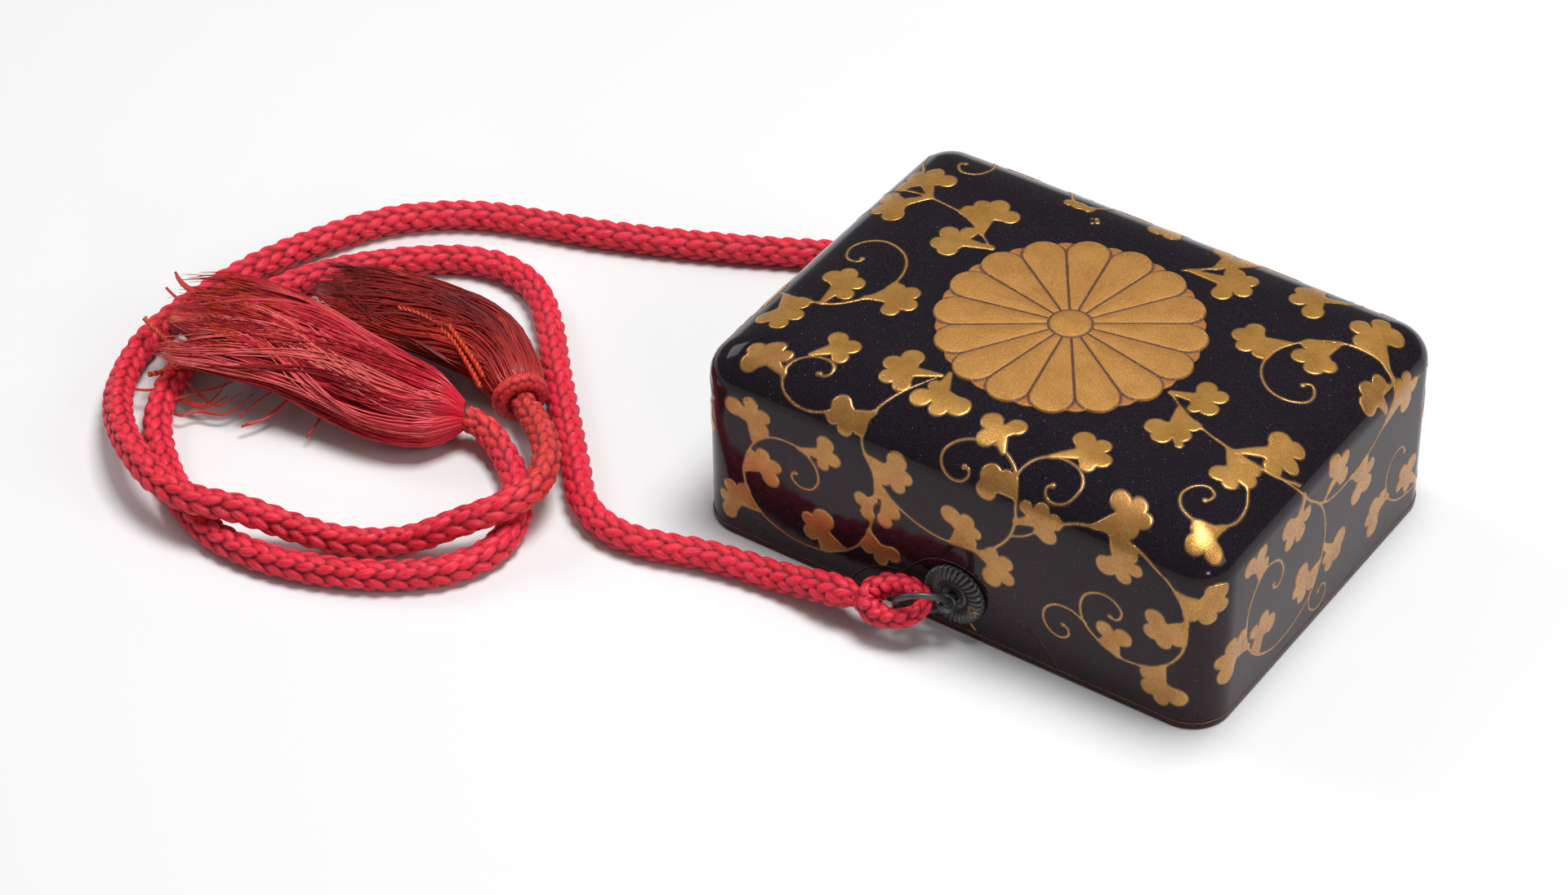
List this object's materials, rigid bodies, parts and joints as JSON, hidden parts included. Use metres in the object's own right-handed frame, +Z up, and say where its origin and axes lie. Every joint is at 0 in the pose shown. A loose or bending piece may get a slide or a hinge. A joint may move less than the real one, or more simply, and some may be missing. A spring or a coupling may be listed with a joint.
{
  "type": "lacquer candy box",
  "caption": "Low rounded lacquer box with a deep lid, a raised chrysanthemum on top, fluted ring fittings and long braided tasselled cords.",
  "frame": {"origin": "centre of the box's underside", "axes": "+X along the long sides, +Z up through the lid, and the side nearest the camera in the picture faces -Y"},
  "size_m": [0.2548, 0.1707, 0.0477],
  "materials": {
    "lacquer": "polished black-brown lacquer with gold pictures",
    "fittings": "dark patina",
    "silk": "braided silk with a soft sheen",
    "faded_silk": "braided silk, faded towards orange at the tassel"
  },
  "bodies": {
    "root": {"tray": "lacquer", "lid": "lacquer", "front_plate": "fittings", "front_staple": "fittings", "front_ring": "fittings", "front_cord_eye": "silk", "front_cord": "silk", "front_tassel": "silk", "back_plate": "fittings", "back_staple": "fittings", "back_ring": "fittings", "back_cord_eye": "faded_silk", "back_cord": "faded_silk", "back_tassel": "faded_silk"}
  },
  "joints": []
}
